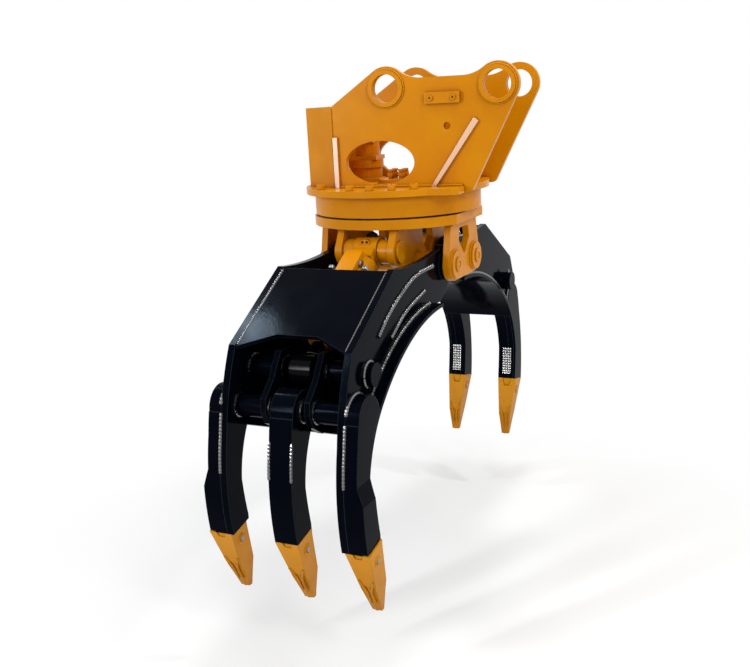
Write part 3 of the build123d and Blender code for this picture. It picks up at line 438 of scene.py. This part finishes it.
for body, plan in jawWelds.items():
    side, runs = plan["side"], []
    for near in (-1, 1):
        rimY = near * (plan["plate"] + jawRim["proud"])
        if plan["middle"]:
            arcY = near * (plan["plate"] + plateArcs["proud"])
            for line in plateArcs["lines"]:
                runs.append(weldRun(smoothPath([at(side * x, arcY, z) for x, z in line]), plateArcs["size"]))
        rim = arcPath(jawRim["upper"], jawRim["upperRadius"] + jawRim["outside"],
                      jawRim["start"], jawRim["join"], side, rimY)
        rim += arcPath(jawRim["lower"], jawRim["lowerRadius"] + jawRim["outside"],
                       jawRim["join"], jawRim["foot"], side, rimY)
        runs.append(weldRun(rim, jawRim["size"]))
        runs.append(weldRun(arcPath(*cheekCrown["arc"], side, rimY), cheekCrown["size"]))
        # seam between the cover and the side plate
        seamY = near * (plan["half"] - coverSeam["inside"])
        runs.append(weldRun([at(side * x, seamY, z) for x, z in coverSeam["line"]], coverSeam["size"]))
        # upright seams down the front of each tine
        tineY = near * plan["plate"]
        upright = arcPath(*tineSeam["knee"], side, tineY) + arcPath(*tineSeam["calf"], side, tineY)
        runs.append(weldRun(upright, tineSeam["size"]))
        if plan["middle"]:
            runs.append(weldRing(rodPin, stubRing["radius"], near * stubRing["off"], stubRing["size"], side))
        for ringY in plan["rings"]:
            for centre, radius in ((rodPin, tubeRings["pinRadius"]), (crossTube, tubeRings["tubeRadius"])):
                runs.append(weldRing(centre, radius, near * ringY, tubeRings["size"], side))
    if plan["middle"]:
        for near in (-1, 1):
            calf = arcPath(*tineSeam["calf"], side, near * middleTine["seam"])
            runs.append(weldRun(calf, tineSeam["size"]))
            runs.append(weldRing(crossTube, tubeRings["tubeRadius"], near * middleTine["ring"],
                                 tubeRings["size"], side))
    fitPiece(joinPieces(runs), body + "_welds", body, weldEnamel, 50)

pinX, pinZ = (-106.5, 106.5), 1012.4
hangerSeams = {"rows": ((133, (-268, -239, 239, 268)), (286, (-119, -89, 89, 119))), "z": 1163, "size": 6}
hangerCollars = {"rows": (-267, 267), "radius": 53, "size": 4}
runs = []
for half, rows in hangerSeams["rows"]:
    for y in rows:
        ends = [at(x, y, hangerSeams["z"]) for x in (-half, half)]
        runs.append(weldRun(ends, hangerSeams["size"]))
for y in hangerCollars["rows"]:
    for x in pinX:
        runs.append(weldRing((x, pinZ), hangerCollars["radius"], y, hangerCollars["size"], 1))
fitPiece(joinPieces(runs), "lower_frame_welds", "lower_frame", orangeEnamel, 50)

earSeams = {"rows": (-192, 192), "foot": (-170, 316), "footZ": 1311, "footSize": 6,
            "nose": -183, "noseZ": (1320, 1601), "collars": ((36, 1660), (446, 1657)),
            "collarRadius": 67, "collarSteps": 40, "size": 4}
runs = []
for w in earSeams["rows"]:
    foot = [onEar(u, w, earSeams["footZ"]) for u in earSeams["foot"]]
    runs.append(weldRun(foot, earSeams["footSize"]))
    runs.append(weldRun([onEar(earSeams["nose"], w, z) for z in earSeams["noseZ"]], earSeams["size"]))
    for u, z in earSeams["collars"]:
        turns = [math.radians(360 / earSeams["collarSteps"] * k) for k in range(earSeams["collarSteps"] + 1)]
        ring = [onEar(u + earSeams["collarRadius"] * math.cos(a), w,
                      z + earSeams["collarRadius"] * math.sin(a)) for a in turns]
        runs.append(weldRun(ring, earSeams["size"]))
fitPiece(joinPieces(runs), "upper_frame_welds", "upper_frame", orangeEnamel, 50)
print("weld beads laid")


# Grease nipples on the pin ends: a round foot, a waist and a ball end
nipple = {"sides": 12, "foot": 6.5, "footHigh": 6, "neck": 0.55, "waistHigh": 5, "ballHigh": 4,
          "ballSwell": 1.35, "ballTop": 0.5}
clearSelection()
bpy.ops.mesh.primitive_cylinder_add(vertices=nipple["sides"], radius=nipple["foot"] / 1000,
                                    depth=nipple["footHigh"] / 1000)
greaser = bpy.context.object
faceMode(greaser, topFace(greaser))
bpy.ops.mesh.inset(thickness=nipple["foot"] * (1 - nipple["neck"]) / 1000)
extrude(0, 0, nipple["waistHigh"])
for scale in (nipple["ballSwell"], nipple["ballTop"]):
    extrude(0, 0, nipple["ballHigh"] / 2)
    bpy.ops.transform.resize(value=(scale, scale, 1))
bpy.ops.object.mode_set(mode="OBJECT")
greasePlaces = {"rear_jaw": [(800, -184, 818), (800, 184, 818)],
                "lower_frame": [(-275, -68, 1130), (275, -68, 1130)]}
for body, master in (("rear_jaw", greaser), ("lower_frame", twinOf(greaser))):
    made = copiesOf(master, [facing(at(*place), Vector((0, 0, 1))) for place in greasePlaces[body]])
    fitPiece(joinPieces(made), body + "_grease_nipples", body, turnedSteel, 30)

# Retaining washers round the pin-end bolts, with a turned step
washer = {"sides": 40, "outer": 27, "step": 5, "hole": 12.5, "high": 5, "rise": 2, "dip": 4,
          "edge": 1.2, "off": 281.5}
clearSelection()
bpy.ops.mesh.primitive_cylinder_add(vertices=washer["sides"], radius=washer["outer"] / 1000,
                                    depth=washer["high"] / 1000)
disc = bpy.context.object
faceMode(disc, topFace(disc))
bpy.ops.mesh.inset(thickness=washer["step"] / 1000)
extrude(0, 0, washer["rise"])
bpy.ops.mesh.inset(thickness=(washer["outer"] - washer["step"] - washer["hole"]) / 1000)
extrude(0, 0, -washer["dip"])
bpy.ops.object.mode_set(mode="OBJECT")
pinEnds = [facing(at(x, out * washer["off"], pinZ), Vector((0, out, 0))) for x in pinX for out in (-1, 1)]
washers = joinPieces(copiesOf(disc, pinEnds))
roundEdges(washers, washer["edge"])
fitPiece(washers, "pin_end_washers", "lower_frame", orangeEnamel, 35)

# Cast C-shaped lips round the tooth pin holes
lip = {"radius": 15, "thick": 4.5, "open": 80, "sides": 10, "steps": 24,
       "x": 944, "off": 38.5, "z": 208, "spin": 0.9, "taper": (15.5, 145)}
cLip = spunBar(lip["thick"], lip["radius"], math.radians(360 - lip["open"]), lip["sides"], lip["steps"])
lean = math.atan2(*lip["taper"])
for (body, side, rows), master in zip(jawRows, (cLip, twinOf(cLip))):
    places = []
    for row in rows:
        for out in (-1, 1):
            normal = Vector((0, out * math.cos(lean), -math.sin(lean)))
            spot = at(side * lip["x"], row + out * lip["off"], lip["z"])
            places.append(facing(spot, normal, lip["spin"] * out))
    fitPiece(joinPieces(copiesOf(master, places)), body + "_tooth_lips", body, yellowPaint, 40)

# Cast ridges that edge the hollows on both faces of every point. A face has its x at the knee and its slope
# above and below it
ridge = {"size": 4.5, "rise": 1.0, "kneeZ": 105, "faces": ((945, 0.4345, 0.505, 1), (866, 0.324, -0.019, -1)),
         "line": [(26, 138), (17, 116), (9.5, 96), (7, 70), (8.5, 38)]}


def pointFace(z, face):
    kneeX, above, below, out = face
    return kneeX + (z - ridge["kneeZ"]) * (above if z > ridge["kneeZ"] else below) + out * ridge["rise"]


for body, side, rows in jawRows:
    runs = []
    for row in rows:
        for hand in (-1, 1):
            for face in ridge["faces"]:
                line = [at(side * pointFace(z, face), row + hand * off, z) for off, z in ridge["line"]]
                runs.append(weldRun(smoothPath(line), ridge["size"], 0.0))
    fitPiece(joinPieces(runs), body + "_tooth_ridges", body, yellowPaint, 50)

# Hard-facing beads laid side by side on the inner edge of every tine, above the tooth
facingBeads = {"offsets": (-17, -8.5, 0, 8.5, 17), "size": 5,
               "line": [(932, 418), (928.5, 382), (923.5, 345), (918, 312), (914, 292)]}
for body, side, rows in jawRows:
    runs = []
    for row in rows:
        for off in facingBeads["offsets"]:
            line = smoothPath([at(side * x, row + off, z) for x, z in facingBeads["line"]])
            runs.append(weldRun(line, facingBeads["size"]))
    fitPiece(joinPieces(runs), body + "_hard_facing", body, weldEnamel, 50)

# Port blocks, eye lugs and elbow fittings on the cylinder bases
cylinder = {"base": (275, 1083), "run": (0.86325, -0.50477)}
port = {"long": 130, "wide": 68, "high": 52, "start": 80, "rise": 46, "edge": 4, "aside": 12,
        "inset": 4, "nose": 12, "noseDrop": 6}
lug = {"sides": 32, "wide": 40, "high": 26, "thick": 14, "hole": 5.5, "holeSides": 16, "holeLong": 100,
       "holeOff": 9, "holeUp": 3, "out": 36}
elbow = {"pipe": 8.5, "bend": 24, "nut": 14.5, "nutLong": 15, "along": 152, "rise": 48, "proud": 8}
outlet = {"pipe": 15, "bend": 32, "nut": 22, "nutLong": 26, "place": (132, 55, 1146)}
fitting = {"sides": 14, "steps": 10, "nutBack": 6, "nutEdge": 1.5}


def elbowFitting(plan, place):
    bend = spunBar(plan["pipe"], plan["bend"], math.pi / 2, fitting["sides"], fitting["steps"])
    reach, back = plan["bend"] / 1000, -fitting["nutBack"] / 1000
    nuts = []
    for spot, turn in (((reach, back, 0), (math.pi / 2, 0, 0)), ((back, reach, 0), (0, math.pi / 2, 0))):
        bpy.ops.mesh.primitive_cylinder_add(vertices=6, radius=plan["nut"] / 1000,
                                            depth=plan["nutLong"] / 1000, location=spot, rotation=turn)
        nut = bpy.context.object
        bpy.ops.object.transform_apply(location=True, rotation=True, scale=True)
        roundEdges(nut, fitting["nutEdge"])
        nuts.append(nut)
    whole = joinPieces([bend] + nuts)
    whole.data.transform(place)
    return whole


for body, side in (("front_barrel_body", -1), ("rear_barrel_body", 1)):
    base = at(side * cylinder["base"][0], 0, cylinder["base"][1])
    run = Vector((side * cylinder["run"][0], 0, cylinder["run"][1]))
    up = Vector((-side * cylinder["run"][1], 0, cylinder["run"][0]))
    clearSelection()
    bpy.ops.mesh.primitive_cube_add(size=1)
    block = bpy.context.object
    block.scale = (port["long"] / 1000, port["wide"] / 1000, port["high"] / 1000)
    bpy.ops.object.transform_apply(location=False, rotation=False, scale=True)
    faceMode(block, lambda face: face.normal.x > 0.9)
    bpy.ops.mesh.inset(thickness=port["inset"] / 1000)
    extrude(port["nose"], 0, -port["noseDrop"])
    bpy.ops.object.mode_set(mode="OBJECT")
    roundEdges(block, port["edge"], 3)
    aside = Vector((0, -side * port["aside"] / 1000, 0))
    middle = base + run * (port["start"] + port["long"] / 2) / 1000 + up * port["rise"] / 1000 + aside
    block.data.transform(Matrix.Translation(middle) @ axes(run, Vector((0, side, 0))))
    fitPiece(block, body + "_port_block", body, orangeEnamel, 35)

    clearSelection()
    bpy.ops.mesh.primitive_cylinder_add(vertices=lug["sides"], radius=0.5, depth=1)
    tab = bpy.context.object
    tab.scale = (lug["wide"] / 1000, lug["high"] / 1000, lug["thick"] / 1000)
    bpy.ops.object.transform_apply(location=False, rotation=False, scale=True)
    drills = []
    for across in (-lug["holeOff"], lug["holeOff"]):
        bpy.ops.mesh.primitive_cylinder_add(vertices=lug["holeSides"], radius=lug["hole"] / 1000,
                                            depth=lug["holeLong"] / 1000,
                                            location=(across / 1000, lug["holeUp"] / 1000, 0))
        drills.append(bpy.context.object)
    for drill in drills:
        cut = tab.modifiers.new("hole", "BOOLEAN")
        cut.operation, cut.object, cut.solver = "DIFFERENCE", drill, "EXACT"
        pickOnly(tab)
        bpy.ops.object.modifier_apply(modifier=cut.name)
        bpy.data.objects.remove(drill)
    stand = axes(Vector((0, 1, 0)), Vector((0, 0, 1)))
    tabPlace = base + Vector((side * lug["out"] / 1000, 0, lug["out"] / 1000))
    tab.data.transform(Matrix.Translation(tabPlace) @ stand)
    fitPiece(tab, body + "_eye_lug", body, orangeEnamel, 35)

    fittings = []
    for hand in (-1, 1):
        # one end screws into the block's flank, the other looks down the barrel
        outward = Vector((0, hand * (port["wide"] / 2 + elbow["proud"]) / 1000, 0))
        spot = base + run * elbow["along"] / 1000 + up * elbow["rise"] / 1000 + aside + outward
        swing = Matrix.Rotation(-math.pi / 2, 4, "Z")
        place = Matrix.Translation(spot) @ axes(Vector((0, hand, 0)), run) @ swing
        fittings.append(elbowFitting(elbow, place))
    fitPiece(joinPieces(fittings), body + "_elbows", body, turnedSteel, 35)

# Outlet elbows under the lower plate, where the rotary union's lines leave for the two cylinders
fittings = []
for side in (-1, 1):
    x, y, z = outlet["place"]
    lay = axes(Vector((-side, 0, 0)), Vector((0, 0, -1)))
    fittings.append(elbowFitting(outlet, Matrix.Translation(at(side * x, -side * y, z)) @ lay))
fitPiece(joinPieces(fittings), "lower_frame_outlet_elbows", "lower_frame", castSteel, 35)
print("pins, lips and cylinder fittings made")

# Pale studio floor that runs out to white, soft lamps and a white surround. The grapple hangs from its ears,
# and the teeth swing lower as the jaws close, so the floor lies under the closed teeth
studio = {"floorZ": -1.945, "floorHalf": 14.0, "floorColour": "#fbfbfa", "fade": (0.7, 2.0),
          "fill": 0.62, "aim": (0, 0, -0.75), "windowLamp": 1, "windowTint": "#d3e8f5",
          "lamps": [((-3.2, -3.6, 1.6), (0.8, 0.8), 38), ((-0.2, 1.84, 1.71), (0.22, 0.34), 14),
                    ((0.6, -3.6, 2.8), (0.3, 0.3), 48), ((-3.8, 1.7, 0.5), (0.2, 1.6), 46),
                    ((0.15, -0.2, 2.3), (0.5, 0.5), 28), ((-0.9, -1.4, 2.0), (0.15, 1.2), 16)]}


# 1 for what the camera sees straight, in a gloss or through glass, and 0 for light that only falls on things
def seenShare(tree):
    rays = addNode(tree, "ShaderNodeLightPath").outputs
    seen = combine(tree, "MAXIMUM", rays["Is Camera Ray"], rays["Is Glossy Ray"])
    return combine(tree, "MAXIMUM", seen, rays["Is Transmission Ray"])


clearSelection()
bpy.ops.mesh.primitive_plane_add(size=2 * studio["floorHalf"], location=(0, 0, studio["floorZ"]))
floor = bpy.context.object
floor.name = "studio_floor"
floorMaterial, tree = startMaterial("pale floor")
away = addNode(tree, "ShaderNodeVectorMath", {"operation": "LENGTH"}, {"0": objectPlace(tree)})
fade = remap(tree, away.outputs["Value"], studio["fade"], ease="SMOOTHSTEP")
share = combine(tree, "MULTIPLY", fade, seenShare(tree))
paint = addNode(tree, "ShaderNodeBsdfDiffuse", {"in:Color": toLinear(studio["floorColour"])})
white = addNode(tree, "ShaderNodeEmission", {"in:Color": (1, 1, 1, 1), "in:Strength": 1.0})
blend = addNode(tree, "ShaderNodeMixShader", None, {
    "0": share, "1": paint.outputs[0], "2": white.outputs[0]})
addNode(tree, "ShaderNodeOutputMaterial", None, {"Surface": blend.outputs[0]})
floor.data.materials.append(floorMaterial)

world = bpy.data.worlds.new("studio")
scene.world = world
world.use_nodes = True
tree = world.node_tree
tree.nodes.clear()
level = remap(tree, seenShare(tree), target=(studio["fill"], 1.0))
sky = addNode(tree, "ShaderNodeBackground", {"in:Color": (1, 1, 1, 1)}, {"Strength": level})
addNode(tree, "ShaderNodeOutputWorld", None, {"Surface": sky.outputs[0]})

for number, (place, size, watts) in enumerate(studio["lamps"]):
    bpy.ops.object.light_add(type="AREA", location=place)
    lamp = bpy.context.object
    lamp.name = f"softbox_{number}"
    lamp.data.shape = "RECTANGLE"
    lamp.data.size, lamp.data.size_y = size
    lamp.data.energy = watts
    if number == studio["windowLamp"]:
        lamp.data.color = toLinear(studio["windowTint"])[:3]
    lamp.rotation_euler = (Vector(studio["aim"]) - Vector(place)).to_track_quat("-Z", "Y").to_euler()

# Camera at the photograph's place and angle
camera = {"place": (-3.50105, -1.51867, -0.02644), "right": (0.42241, -0.90499, -0.05053),
          "up": (0.23329, 0.05468, 0.97087), "back": (-0.87587, -0.42189, 0.23422),
          "lens": 47.11, "sensor": 36, "farthest": 60}
bpy.ops.object.camera_add()
viewer = bpy.context.object
turn = Matrix([camera["right"], camera["up"], camera["back"]]).transposed()
viewer.matrix_world = Matrix.Translation(camera["place"]) @ turn.to_4x4()
viewer.data.lens = camera["lens"]
viewer.data.sensor_width = camera["sensor"]
viewer.data.clip_end = camera["farthest"]
scene.camera = viewer
scene.view_settings.view_transform = "Standard"
print("studio and camera ready")
